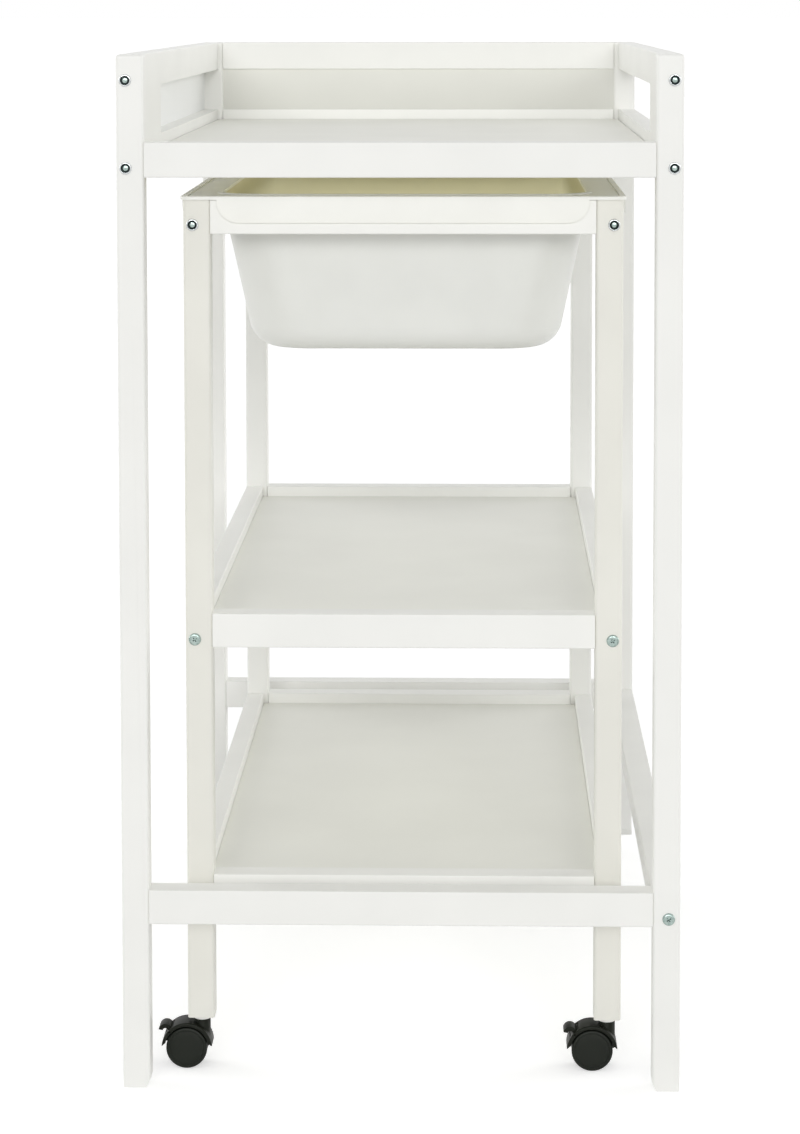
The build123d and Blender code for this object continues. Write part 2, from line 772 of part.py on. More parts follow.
def write(nodes, place):
    """One STEP file a node, with separate solids where the node is a group."""
    for name, shape in nodes.items():
        solids = shape if isinstance(shape, list) else [shape]
        solids = [solid for item in solids for solid in (place * item).solids()]
        whole = solids[0] if len(solids) == 1 else Compound(children=solids)
        export_step(whole, f"parts/{name}.step")


os.makedirs("parts", exist_ok=True)
write(outer_frame(), Pos(0, 0, 0))
write(trolley(), at_trolley)
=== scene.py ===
import json
import math

import bmesh
import bpy
from mathutils import Matrix, Vector


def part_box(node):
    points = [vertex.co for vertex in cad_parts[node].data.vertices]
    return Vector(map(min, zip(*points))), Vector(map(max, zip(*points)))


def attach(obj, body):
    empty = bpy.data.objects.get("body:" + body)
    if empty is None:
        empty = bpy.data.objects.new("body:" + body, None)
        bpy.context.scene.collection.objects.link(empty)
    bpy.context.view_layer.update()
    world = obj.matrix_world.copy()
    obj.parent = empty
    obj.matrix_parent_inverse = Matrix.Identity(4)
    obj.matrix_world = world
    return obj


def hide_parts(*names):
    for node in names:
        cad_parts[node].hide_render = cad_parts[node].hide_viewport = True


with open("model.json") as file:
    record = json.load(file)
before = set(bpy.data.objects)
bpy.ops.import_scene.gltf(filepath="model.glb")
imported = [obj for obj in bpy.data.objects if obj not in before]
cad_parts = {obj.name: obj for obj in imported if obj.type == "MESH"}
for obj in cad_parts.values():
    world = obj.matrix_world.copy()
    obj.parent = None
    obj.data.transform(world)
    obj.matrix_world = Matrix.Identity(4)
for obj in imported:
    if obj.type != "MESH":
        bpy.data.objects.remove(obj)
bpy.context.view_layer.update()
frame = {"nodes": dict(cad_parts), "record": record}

# A white lacquered changing table with a bath trolley inside it, seen from its right end.
# Lengths are in metres, in the frame of the table: +X is its right end, +Y its back.

MM = 0.001

# Camera, as worked out from the lines of the photograph. Its turns are in radians.
CAMERA_PLACE = Vector((3.29194, 0.07237, 1.03203))
CAMERA_TURN = -0.0255
CAMERA_TILT = 0.0706
CAMERA_ROLL = -0.0014
PHOTO_WIDTH, PHOTO_HEIGHT = 800, 1134
FOCAL_PIXELS = 3042.98
AXIS_PIXEL = (399.68, 218.82)
SENSOR_WIDTH = 36.0

# Lamps: name, azimuth from +X, elevation, strength and softness, with the angles in degrees
LAMPS = (
    ("key lamp", -11.0, 18.0, 0.60, 22.0),
    ("fill lamp", 13.0, 15.0, 0.60, 22.0),
    ("front side lamp", -112.0, 15.0, 0.86, 35.0),
    ("back side lamp", 112.0, 13.0, 0.98, 35.0),
)

# Surround and floor: the light that the surround gives, and the glow that keeps the floor white
AMBIENT = 0.50
WHITE = "#FFFFFF"
FLOOR_SIZE = 400.0
FLOOR_LIFT = 0.42

# Colour patches: their sizes in millimetres on each kind of finish, and the part of the noise
# over which one tone turns into the other
TIMBER_PATCH_MM = 90.0
BOARD_PATCH_MM = 140.0
PANEL_PATCH_MM = 120.0
PLASTIC_PATCH_MM = 60.0
STEEL_PATCH_MM = 2.5
FLOOR_PATCH_MM = 400.0
TONE_START, TONE_END = 0.35, 0.65

# Timber grain: its fineness along the piece, as a share of that across it
GRAIN_STRETCH_SHARE = 0.03

# Tub: its basin's middle with the height of a point over it that only the inner faces look to,
# the levels of its rim and its aprons' foot, above which the outside is painted lighter as painted
# light, the levels between which the wall turns too thick to let light pass, and the shares of
# light that pass through the wall and its outer skin
TUB_MIDDLE = (0.005, 0.0018)
LOOK_HEIGHT = 1.2
RIM_LEVEL = 0.847
APRON_FOOT = 0.805
APRON_BLEND = 10 * MM
THIN_END, THICK_START = 0.826, 0.846
WALL_SHARE = 0.72
SKIN_SHARE = 0.04

# Foot and head of the thin panel at the left end of the changing surface, between which the painted shade at
# its foot gives way to its lighter head tone
PANEL_FOOT = 0.900
PANEL_HEAD = 0.955

# Shaping: how squarely a cap looks along the axis, how near a corner lies to the end of a
# cylinder in half lengths, and the distance under which doubled points are one
SQUARE = 0.99
NEAR_END = 0.9
SAME_POINT = MM / 1000
HEAD_SIDES = 48
STEEL_SMOOTH = 40.0
PLASTIC_SMOOTH = 35.0

# Connector bolts: a bright domed head with a conical recess painted dark as shade, round a blue socket
BOLT_HEAD_RADIUS = 5.8 * MM
BOLT_HEAD_HEIGHT = 2.4 * MM
BOLT_EDGE_ROUND = 1.2 * MM
BOLT_EDGE_STEPS = 5
BOLT_MOUTH_RADIUS = 4.5 * MM
BOLT_RECESS_DEPTH = 1.5 * MM
BOLT_SOCKET_RADIUS = 2.4 * MM
BOLT_FLOOR_SHARE = 0.45
BOLT_FLOOR_RISE_SHARE = 0.25
BOLT_SHANK_RADIUS = 3.0 * MM
BOLT_SHANK_LENGTH = 46.0 * MM

# Cross-head screws: a low domed head with a tapered cross recess
SCREW_HEAD_RADIUS = 6.0 * MM
SCREW_HEAD_HEIGHT = 2.2 * MM
SCREW_DOME_ROUND = 1.9 * MM
SCREW_DOME_STEPS = 7
SCREW_SHANK_RADIUS = 2.2 * MM
SCREW_SHANK_LENGTH = 58.0 * MM
CROSS_LENGTH = 5.4 * MM
CROSS_WIDTH = 1.3 * MM
CROSS_DEPTH = 2.0 * MM
CROSS_TAPER = 0.45
CROSS_TURN = math.radians(35)
CUTTER_OVERRUN = 1.0 * MM

# Caster wheels: a rounded tread, and an outer face with a rim, a step and a low crown. The ease
# keeps the rounded tread from dipping under the floor.
WHEEL_RADIUS = 20.0 * MM
WHEEL_WIDTH = 7.5 * MM
WHEEL_SIDES = 96
TREAD_EASE = 0.02 * MM
TREAD_ROUND = 1.6 * MM
TREAD_STEPS = 5
RIM_WIDTH = 1.3 * MM
RIM_STEP = 0.6 * MM
STEP_WIDTH = 0.6 * MM
CROWN_WIDTHS = (2.2 * MM, 3.4 * MM, 4.6 * MM)
CROWN_RISES = (0.30 * MM, 0.22 * MM, 0.10 * MM)
AXLE_RADIUS = 2.5 * MM
AXLE_ROUND = 0.3 * MM
AXLE_ROUND_STEPS = 2
AXLE_SIDES = 40

# Caster hoods: the eased edges of the moulding
MOULD_ROUND = 0.35 * MM
MOULD_STEPS = 3
MOULD_EDGE_ANGLE = 40.0
FLAT_ANGLE = 0.5

# Brake lever, about the axle: a shoe in the hood's window, a hooked tab and a pin. Places are
# (Y, Z) from the axle, and angles are in degrees from +Y.
LEVER_WIDTH = 18.0 * MM
SHOE_INNER, SHOE_OUTER = 21.1 * MM, 24.1 * MM
SHOE_START, SHOE_END = 125.0, 149.0
SHOE_STEPS = 8
TAB_MIDDLE = (-21.1 * MM, 15.3 * MM)
TAB_INNER, TAB_OUTER = 2.6 * MM, 6.8 * MM
TAB_START, TAB_END = 15.0, 168.0
TAB_STEPS = 18
TAB_ROUND = 1.1 * MM
TAB_ROUND_STEPS = 4
TAB_EDGE_ANGLE = 50.0
PIN_REACH, PIN_ANGLE = 22.85 * MM, 137.0
PIN_RADIUS = 1.0 * MM
PIN_LENGTH = 22.0 * MM
PIN_SIDES = 24


def linear(hex_colour):
    """A colour written as sRGB hex, turned to the linear values that shaders take."""
    channels = [int(hex_colour[i : i + 2], 16) / 255 for i in (1, 3, 5)]
    lit = [c / 12.92 if c <= 0.04045 else ((c + 0.055) / 1.055) ** 2.4 for c in channels]
    return (*lit, 1.0)


def add(tree, kind, settings=None, links=None):
    """Adds a node. Settings name its properties or sockets, links name the sockets it is fed by."""
    node = tree.nodes.new(kind)
    for key, value in (settings or {}).items():
        if isinstance(key, str) and hasattr(node, key):
            setattr(node, key, value)
        else:
            node.inputs[key].default_value = value
    for key, source in (links or {}).items():
        tree.links.new(source, node.inputs[key])
    return node


def start_material(name):
    """An empty node material with its output, and the object's own coordinates in metres."""
    material = bpy.data.materials.new(name)
    material.use_nodes = True
    tree = material.node_tree
    tree.nodes.clear()
    output = add(tree, "ShaderNodeOutputMaterial").inputs["Surface"]
    coordinates = add(tree, "ShaderNodeTexCoord").outputs["Object"]
    return material, tree, output, coordinates


def per_millimetre(size_mm):
    """The scale of a noise whose features are about this size."""
    return 1.0 / (size_mm * MM)


def tone_between(tree, coordinates, patch_mm, darker, lighter):
    """A colour that drifts between two close tones over patches of one size."""
    noise = add(
        tree,
        "ShaderNodeTexNoise",
        {"Scale": per_millimetre(patch_mm), "Detail": 2.0, "Roughness": 0.5},
        {"Vector": coordinates},
    )
    ramp = add(tree, "ShaderNodeValToRGB", links={"Fac": noise.outputs["Fac"]})
    for element, position, tone in zip(ramp.color_ramp.elements, (TONE_START, TONE_END), (darker, lighter)):
        element.position = position
        element.color = linear(tone)
    return ramp.outputs["Color"]


def relief(tree, place, size_mm, detail, depth_mm, strength, below=None):
    """A fine unevenness of one size and depth, on top of another where that is given."""
    noise = add(
        tree, "ShaderNodeTexNoise", {"Scale": per_millimetre(size_mm), "Detail": detail}, {"Vector": place}
    )
    links = {"Height": noise.outputs["Fac"]}
    if below is not None:
        links["Normal"] = below
    raised = add(tree, "ShaderNodeBump", {"Strength": strength, "Distance": depth_mm * MM}, links)
    return raised.outputs["Normal"]


def opaque_surface(tree, coordinates, settings, colour, normal, patch_mm, low, high):
    """An opaque surface whose roughness drifts between two values over patches of one size."""
    noise = add(
        tree,
        "ShaderNodeTexNoise",
        {"Scale": per_millimetre(patch_mm), "Detail": 3.0},
        {"Vector": coordinates},
    )
    spread = add(tree, "ShaderNodeMapRange", {"To Min": low, "To Max": high}, {"Value": noise.outputs["Fac"]})
    shader = add(
        tree,
        "ShaderNodeBsdfPrincipled",
        settings,
        {"Base Color": colour, "Roughness": spread.outputs["Result"], "Normal": normal},
    )
    return shader.outputs["BSDF"]


def lacquered_timber(name, along, darker, lighter):
    """Beech sprayed with a white satin lacquer: opaque and smooth, with the film's faint orange
    peel and just a trace of the grain that runs along the piece."""
    material, tree, output, coordinates = start_material(name)
    stretch = [GRAIN_STRETCH_SHARE if axis == along else 1.0 for axis in "XYZ"]
    grain_place = add(tree, "ShaderNodeMapping", {"Scale": stretch}, {"Vector": coordinates})
    peel = relief(tree, coordinates, size_mm=2.2, detail=2.0, depth_mm=0.05, strength=0.25)
    grain = relief(
        tree, grain_place.outputs["Vector"], size_mm=1.6, detail=4.0, depth_mm=0.06, strength=0.2, below=peel
    )
    colour = tone_between(tree, coordinates, TIMBER_PATCH_MM, darker, lighter)
    settings = {"IOR": 1.5, "Coat Weight": 0.12, "Coat Roughness": 0.25}
    surface = opaque_surface(
        tree, coordinates, settings, colour, grain, patch_mm=30.0, low=0.38, high=0.48
    )
    tree.links.new(surface, output)
    return material


def melamine_board(name, darker, lighter):
    """Fibreboard faced with white melamine: flat and even, with the press plate's fine texture."""
    material, tree, output, coordinates = start_material(name)
    colour = tone_between(tree, coordinates, BOARD_PATCH_MM, darker, lighter)
    pores = relief(tree, coordinates, size_mm=1.2, detail=3.0, depth_mm=0.03, strength=0.2)
    surface = opaque_surface(
        tree, coordinates, {"IOR": 1.5}, colour, pores, patch_mm=40.0, low=0.42, high=0.5
    )
    tree.links.new(surface, output)
    return material


def thin_hardboard_with_painted_shade():
    """Thin painted hardboard: flat and a little greyer than the boards, with painted shade that darkens it
    towards its foot.
    """
    material, tree, output, coordinates = start_material("thin painted hardboard with a painted shade at its foot")
    place = add(tree, "ShaderNodeSeparateXYZ", links={"Vector": coordinates})
    height = add(
        tree,
        "ShaderNodeMapRange",
        {"From Min": PANEL_FOOT, "From Max": PANEL_HEAD},
        {"Value": place.outputs["Z"]},
    )
    # The foot is painted a darker tone than the head, as painted shade.
    shaded_foot = tone_between(tree, coordinates, PANEL_PATCH_MM, "#D8D8D1", "#DCDCD5")
    head = tone_between(tree, coordinates, PANEL_PATCH_MM, "#E6E6DF", "#EAEAE3")
    colour = add(
        tree, "ShaderNodeMix", {"data_type": "RGBA"}, {0: height.outputs["Result"], 6: shaded_foot, 7: head}
    )
    pores = relief(tree, coordinates, size_mm=1.2, detail=3.0, depth_mm=0.03, strength=0.2)
    surface = opaque_surface(
        tree, coordinates, {"IOR": 1.5}, colour.outputs[2], pores, patch_mm=40.0, low=0.45, high=0.55
    )
    tree.links.new(surface, output)
    return material


def moulded_plastic(name, darker, lighter, low, high, grain_mm, shine=0.5):
    """Injection-moulded nylon or rubber: a satin skin over the fine grain of a spark-eroded mould."""
    material, tree, output, coordinates = start_material(name)
    colour = tone_between(tree, coordinates, PLASTIC_PATCH_MM, darker, lighter)
    grain = relief(tree, coordinates, grain_mm, detail=2.0, depth_mm=0.03, strength=0.25)
    settings = {"IOR": 1.5, "Specular IOR Level": shine}
    surface = opaque_surface(
        tree, coordinates, settings, colour, grain, patch_mm=25.0, low=low, high=high
    )
    tree.links.new(surface, output)
    return material


def plated_steel(name, darker, lighter, low, high):
    """Steel under a thin plated layer, or a dark steel that paints shade: bright or dark metal, slightly
    uneven.
    """
    material, tree, output, coordinates = start_material(name)
    colour = tone_between(tree, coordinates, STEEL_PATCH_MM, darker, lighter)
    layer = relief(tree, coordinates, size_mm=0.6, detail=2.0, depth_mm=0.02, strength=0.3)
    surface = opaque_surface(
        tree, coordinates, {"Metallic": 1.0}, colour, layer, patch_mm=1.5, low=low, high=high
    )
    tree.links.new(surface, output)
    return material


def tub_sides(tree, coordinates, height):
    """Where light meets the inner faces of the basin, and where it meets the outer ones, both
    from outside the wall. An inner face looks to the point over the basin."""
    geometry = add(tree, "ShaderNodeNewGeometry")
    over = (*TUB_MIDDLE, LOOK_HEIGHT)
    away = add(tree, "ShaderNodeVectorMath", {"operation": "SUBTRACT", 1: over}, {0: coordinates})
    side = add(
        tree,
        "ShaderNodeVectorMath",
        {"operation": "DOT_PRODUCT"},
        {0: geometry.outputs["Normal"], 1: away.outputs["Vector"]},
    )
    inner = add(tree, "ShaderNodeMath", {"operation": "LESS_THAN", 1: 0.0}, {0: side.outputs["Value"]})
    below = add(tree, "ShaderNodeMath", {"operation": "LESS_THAN", 1: RIM_LEVEL}, {0: height})
    front = add(
        tree, "ShaderNodeMath", {"operation": "SUBTRACT", 0: 1.0}, {1: geometry.outputs["Backfacing"]}
    )
    basin = add(
        tree,
        "ShaderNodeMath",
        {"operation": "MULTIPLY"},
        {0: inner.outputs["Value"], 1: below.outputs["Value"]},
    )
    basin = add(
        tree,
        "ShaderNodeMath",
        {"operation": "MULTIPLY"},
        {0: basin.outputs["Value"], 1: front.outputs["Value"]},
    )
    outside = add(
        tree,
        "ShaderNodeMath",
        {"operation": "SUBTRACT", "use_clamp": True},
        {0: front.outputs["Value"], 1: inner.outputs["Value"]},
    )
    return basin.outputs["Value"], outside.outputs["Value"]


def tub_colour_with_painted_light_and_shade(tree, coordinates, height, basin):
    """White outside, with the aprons and rim painted lighter than the tub below them as painted light, and a
    cream tone painted inside the basin as warm shade.
    """
    under = tone_between(tree, coordinates, PLASTIC_PATCH_MM, "#E7E8E4", "#EAEBE7")
    # The aprons and rim are painted a lighter white than the tub under them, as painted light against the
    # changing top's shadow.
    rim_painted_light = tone_between(tree, coordinates, PLASTIC_PATCH_MM, "#F6F6F1", "#F9F9F4")
    # A cream tone painted on the basin's inner faces, as painted warm shade.
    inner = tone_between(tree, coordinates, PLASTIC_PATCH_MM, "#DDD7AE", "#E1DBB5")
    apron = add(
        tree,
        "ShaderNodeMapRange",
        {"From Min": APRON_FOOT, "From Max": APRON_FOOT + APRON_BLEND},
        {"Value": height},
    )
    outer = add(
        tree, "ShaderNodeMix", {"data_type": "RGBA"}, {0: apron.outputs["Result"], 6: under, 7: rim_painted_light}
    )
    colour = add(tree, "ShaderNodeMix", {"data_type": "RGBA"}, {0: basin, 6: outer.outputs[2], 7: inner})
    return colour.outputs[2]


def tub_polypropylene():
    """White polypropylene, smooth from a polished mould: a soft gloss, and a wall thin enough to
    let daylight in. Inside the basin a cream tone, and a cream tint on the light through the wall,
    are painted shade for the warm light between its walls, while the outer skin throws back
    nearly all of its light and stays a plain white."""
    material, tree, output, coordinates = start_material("moulded tub polypropylene with painted light and shade")
    height = add(tree, "ShaderNodeSeparateXYZ", links={"Vector": coordinates}).outputs["Z"]
    basin, outside = tub_sides(tree, coordinates, height)
    colour = tub_colour_with_painted_light_and_shade(tree, coordinates, height, basin)
    grain = relief(tree, coordinates, size_mm=0.8, detail=2.0, depth_mm=0.03, strength=0.2)
    surface = opaque_surface(
        tree, coordinates, {"IOR": 1.49}, colour, grain, patch_mm=25.0, low=0.28, high=0.36
    )
    share = add(
        tree, "ShaderNodeMapRange", {"To Min": WALL_SHARE, "To Max": SKIN_SHARE}, {"Value": outside}
    )
    thin = add(
        tree,
        "ShaderNodeMapRange",
        {"From Min": THIN_END, "From Max": THICK_START, "To Min": 1.0, "To Max": 0.0},
        {"Value": height},
    )
    share = add(
        tree,
        "ShaderNodeMath",
        {"operation": "MULTIPLY"},
        {0: share.outputs["Result"], 1: thin.outputs["Result"]},
    )
    # The light through the basin's inner faces is tinted cream, as painted warm shade.
    warm_shade_tint = add(
        tree,
        "ShaderNodeMix",
        {"data_type": "RGBA", 6: linear("#FFFDF4"), 7: linear("#E9E6C9")},
        {0: basin},
    )
    passing = add(tree, "ShaderNodeBsdfTranslucent", links={"Color": warm_shade_tint.outputs[2]})
    wall = add(
        tree, "ShaderNodeMixShader", links={0: share.outputs["Value"], 1: surface, 2: passing.outputs["BSDF"]}
    )
    tree.links.new(wall.outputs["Shader"], output)
    return material


def make_materials():
    """All finishes, by the name of the slot, of the node or of the run of the timber."""
    materials = {
        f"timber_{axis}": lacquered_timber(f"white lacquered beech along {axis}", axis, "#F2F2EE", "#F5F5F1")
        for axis in "XYZ"
    }
    # A darker copy of the white lacquer, as painted shade for the right trolley posts standing in the frame's
    # shade.
    materials["post_Z"] = lacquered_timber("lacquered beech darkened as painted shade along Z", "Z", "#E6E5DD", "#EAE9E1")
    materials["white_panel"] = melamine_board("white melamine board", "#EFEFE8", "#F2F2EB")
    materials["end_panel_left"] = thin_hardboard_with_painted_shade()
    materials["slot_panel_front"] = melamine_board("painted slot panel", "#F3F4F3", "#F6F7F6")
    materials["tub_plastic"] = tub_polypropylene()
    materials["black_nylon"] = moulded_plastic("black nylon", "#12150E", "#191C14", 0.38, 0.5, 0.6, 0.15)
    materials["black_wheel_plastic"] = moulded_plastic(
        "black wheel plastic", "#141811", "#191D16", 0.34, 0.44, 0.6, 0.2
    )
    materials["white_nylon"] = moulded_plastic("white nylon", "#EBEBE7", "#F0F0EC", 0.35, 0.45, 0.6)
    materials["grey_rubber"] = moulded_plastic("grey rubber", "#56595B", "#606365", 0.6, 0.75, 0.9)
    materials["zinc_steel"] = plated_steel("bright zinc on steel", "#C2C5C6", "#D6D9DA", 0.12, 0.22)
    materials["passivated_zinc"] = plated_steel("blue passivated zinc", "#94A5A0", "#AEBDB8", 0.18, 0.28)
    # A dark steel that paints shade into the bolts' recesses.
    materials["blackened_recess"] = plated_steel("dark steel as painted recess shade", "#20282A", "#2F3836", 0.3, 0.42)
    return materials


def finish_of(name, slot):
    """The finish of a node, by its own name, its material slot or the way its timber runs."""
    if name in ("slot_panel_front", "end_panel_left"):
        return name
    if slot != "white_lacquered_wood":
        return slot
    low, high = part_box(name)
    size = high - low
    # The right trolley posts take the darker lacquer copy, which is painted shade.
    kind = "post" if name.startswith("trolley_post") and name.endswith("right") else "timber"
    return f"{kind}_" + "XYZ"[max(range(3), key=lambda axis: size[axis])]


def dress_cad(materials):
    """Gives every CAD node the finish of its real piece."""
    slots = {part["node"]: part["material_slot"] for part in frame["record"]["subparts"]}
    for name, piece in frame["nodes"].items():
        piece.data.materials.clear()
        piece.data.materials.append(materials[finish_of(name, slots[name])])


def select_only(piece):
    """Makes one object the only selected one and the active one."""
    bpy.ops.object.select_all(action="DESELECT")
    piece.select_set(True)
    bpy.context.view_layer.objects.active = piece


def start_cylinder(name, radius, depth, vertices, place=(0.0, 0.0, 0.0), rotation=(0.0, 0.0, 0.0)):
    """A new cylinder along Z, left in edit mode to be shaped."""
    bpy.ops.object.select_all(action="DESELECT")
    bpy.ops.mesh.primitive_cylinder_add(
        vertices=vertices, radius=radius, depth=depth, location=place, rotation=rotation
    )
    piece = bpy.context.active_object
    piece.name = name
    bpy.ops.object.mode_set(mode="EDIT")
    return piece


def choose_faces(piece, test):
    """In edit mode, selects the faces whose centre and normal pass the test."""
    bpy.ops.mesh.select_mode(type="FACE")
    bpy.ops.mesh.select_all(action="DESELECT")
    mesh = bmesh.from_edit_mesh(piece.data)
    for face in mesh.faces:
        if test(face.calc_center_median(), face.normal):
            face.select_set(True)
    bmesh.update_edit_mesh(piece.data)


def choose_edges(piece, test):
    """In edit mode, selects the edges whose two ends both pass the test."""
    bpy.ops.mesh.select_mode(type="EDGE")
    bpy.ops.mesh.select_all(action="DESELECT")
    mesh = bmesh.from_edit_mesh(piece.data)
    for edge in mesh.edges:
        if all(test(vertex.co) for vertex in edge.verts):
            edge.select_set(True)
    bmesh.update_edit_mesh(piece.data)


def extrude_chosen(distance, scale=1.0):
    """Extrudes the chosen cap along Z and widens or narrows it about the Z axis."""
    bpy.ops.mesh.extrude_region_move(TRANSFORM_OT_translate={"value": (0.0, 0.0, distance)})
    if scale != 1.0:
        bpy.ops.transform.resize(value=(scale, scale, 1.0), center_override=(0.0, 0.0, 0.0))


def settle(piece):
    """Puts the place, turn and size of the piece into its mesh."""
    select_only(piece)
    bpy.ops.object.transform_apply(location=True, rotation=True, scale=True)


def finish_piece(piece, smooth_angle):
    """Leaves edit mode, settles the piece and smooths what isn't a sharp edge."""
    if piece.mode == "EDIT":
        bpy.ops.object.mode_set(mode="OBJECT")
    settle(piece)
    bpy.ops.object.shade_smooth_by_angle(angle=math.radians(smooth_angle))


def dress(piece, *finishes):
    """Gives a new piece its finishes in place of any it has."""
    piece.data.materials.clear()
    for finish in finishes:
        piece.data.materials.append(finish)


def place_copy(master, name, place, rotation=(0.0, 0.0, 0.0)):
    """A copy of a finished piece with a mesh of its own, its place put into the mesh."""
    piece = bpy.data.objects.new(name, master.data.copy())
    bpy.context.scene.collection.objects.link(piece)
    piece.location = place
    piece.rotation_euler = rotation
    settle(piece)
    return piece


def discard(piece):
    """Removes a model that has been copied or used up."""
    bpy.data.objects.remove(piece, do_unlink=True)


def combine(piece, other, operation):
    """Joins another closed solid to the piece or cuts it away, and removes the other."""
    select_only(piece)
    change = piece.modifiers.new("combine", "BOOLEAN")
    change.operation = operation
    change.object = other
    bpy.ops.object.modifier_apply(modifier=change.name)
    discard(other)


def ease_edges(piece, width, steps, edge_angle):
    """Rounds every edge of the piece that is sharper than an angle."""
    ease = piece.modifiers.new("eased edges", "BEVEL")
    ease.width = width
    ease.segments = steps
    ease.limit_method = "ANGLE"
    ease.angle_limit = math.radians(edge_angle)
    bpy.ops.object.modifier_apply(modifier=ease.name)


def domed_head(name, radius, height, edge_round, steps):
    """A round head along Z on the XY plane, its upper edge rounded, left in edit mode."""
    head = start_cylinder(name, radius, height, HEAD_SIDES, (0.0, 0.0, height / 2))
    choose_edges(head, lambda v: v.z > height / 2 * NEAR_END)
    bpy.ops.mesh.bevel(offset=edge_round, segments=steps, profile=0.5)
    return head


def add_shank(head, head_radius, shank_radius, length):
    """Draws the shank out of the head's underside."""
    choose_faces(head, lambda c, n: n.z < -SQUARE)
    bpy.ops.mesh.inset(thickness=head_radius - shank_radius)
    extrude_chosen(-length)


def bolt_zone(face):
    """Which finish a bolt's face has: 2 in the socket, 1 on the recess's cone, which is painted dark as
    shade, and 0 elsewhere.
    """
    reach = math.hypot(face.center.x, face.center.y)
    depth = BOLT_HEAD_HEIGHT - face.center.z
    if reach <= BOLT_SOCKET_RADIUS and 0.0 < depth < BOLT_HEAD_HEIGHT:
        return 2
    in_mouth = reach < BOLT_MOUTH_RADIUS and 0.0 < depth < BOLT_RECESS_DEPTH
    return int(in_mouth and face.normal.z > 0.0)


def connector_bolt(materials):
    """A bolt along Z with the underside of its head at the origin."""
    bolt = domed_head("bolt_model", BOLT_HEAD_RADIUS, BOLT_HEAD_HEIGHT, BOLT_EDGE_ROUND, BOLT_EDGE_STEPS)
    choose_faces(bolt, lambda c, n: n.z > SQUARE and c.z > BOLT_HEAD_HEIGHT / 2 * NEAR_END)
    bpy.ops.mesh.inset(thickness=BOLT_HEAD_RADIUS - BOLT_EDGE_ROUND - BOLT_MOUTH_RADIUS)
    extrude_chosen(-BOLT_RECESS_DEPTH, BOLT_SOCKET_RADIUS / BOLT_MOUTH_RADIUS)
    bpy.ops.mesh.inset(
        thickness=BOLT_SOCKET_RADIUS * BOLT_FLOOR_SHARE, depth=BOLT_RECESS_DEPTH * BOLT_FLOOR_RISE_SHARE
    )
    add_shank(bolt, BOLT_HEAD_RADIUS, BOLT_SHANK_RADIUS, BOLT_SHANK_LENGTH)
    finish_piece(bolt, STEEL_SMOOTH)
    dress(bolt, materials["zinc_steel"], materials["blackened_recess"], materials["passivated_zinc"])
    for face in bolt.data.polygons:
        face.material_index = bolt_zone(face)
    return bolt


def cross_cutter(turn):
    """One bar of the tapered cross that is sunk into a screw's head."""
    bpy.ops.object.select_all(action="DESELECT")
    middle = SCREW_HEAD_HEIGHT - CROSS_DEPTH / 2 + CUTTER_OVERRUN / 2
    bpy.ops.mesh.primitive_cube_add(size=1.0, location=(0.0, 0.0, middle), rotation=(0.0, 0.0, turn))
    bar = bpy.context.active_object
    bar.scale = (CROSS_LENGTH, CROSS_WIDTH, CROSS_DEPTH + CUTTER_OVERRUN)
    settle(bar)
    bpy.ops.object.mode_set(mode="EDIT")
    choose_faces(bar, lambda c, n: n.z < -SQUARE)
    bpy.ops.transform.resize(value=(CROSS_TAPER, CROSS_TAPER, 1.0), center_override=(0.0, 0.0, 0.0))
    bpy.ops.object.mode_set(mode="OBJECT")
    return bar


def cross_head_screw(materials):
    """A screw along Z with the underside of its head at the origin."""
    screw = domed_head(
        "screw_model", SCREW_HEAD_RADIUS, SCREW_HEAD_HEIGHT, SCREW_DOME_ROUND, SCREW_DOME_STEPS
    )
    add_shank(screw, SCREW_HEAD_RADIUS, SCREW_SHANK_RADIUS, SCREW_SHANK_LENGTH)
    finish_piece(screw, STEEL_SMOOTH)
    for turn in (CROSS_TURN, CROSS_TURN + math.pi / 2):
        combine(screw, cross_cutter(turn), "DIFFERENCE")
    bpy.ops.object.shade_smooth_by_angle(angle=math.radians(STEEL_SMOOTH))
    dress(screw, materials["passivated_zinc"])
    return screw


def fastener_spots(node, radius, height):
    """The places of a node's heads on the end faces, with the side that each looks to. They are
    rounded to a tenth of a millimetre, so that heads in one row or column count once."""
    low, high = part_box(node)
    for side, x in ((-1, low.x + height), (1, high.x - height)):
        for y in sorted({round(low.y + radius, 4), round(high.y - radius, 4)}):
            for z in sorted({round(low.z + radius, 4), round(high.z - radius, 4)}):
                yield side, (x, y, z)


def make_fasteners(materials):
    """Every bolt and screw, each a copy of its own kind in place of the plain ones."""
    bolt, screw = connector_bolt(materials), cross_head_screw(materials)
    kinds = (
        (bolt, "frame_connector_bolts", "frame", BOLT_HEAD_RADIUS, BOLT_HEAD_HEIGHT),
        (bolt, "trolley_connector_bolts", "trolley", BOLT_HEAD_RADIUS, BOLT_HEAD_HEIGHT),
        (screw, "frame_rail_screws", "frame", SCREW_HEAD_RADIUS, SCREW_HEAD_HEIGHT),
        (screw, "trolley_shelf_screws", "trolley", SCREW_HEAD_RADIUS, SCREW_HEAD_HEIGHT),
    )
    for master, node, body, radius, height in kinds:
        for number, (side, place) in enumerate(fastener_spots(node, radius, height), start=1):
            piece = place_copy(master, f"{node[:-1]}_{number}", place, (0.0, side * math.pi / 2, 0.0))
            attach(piece, body)
            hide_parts(node)
    discard(bolt)
    discard(screw)


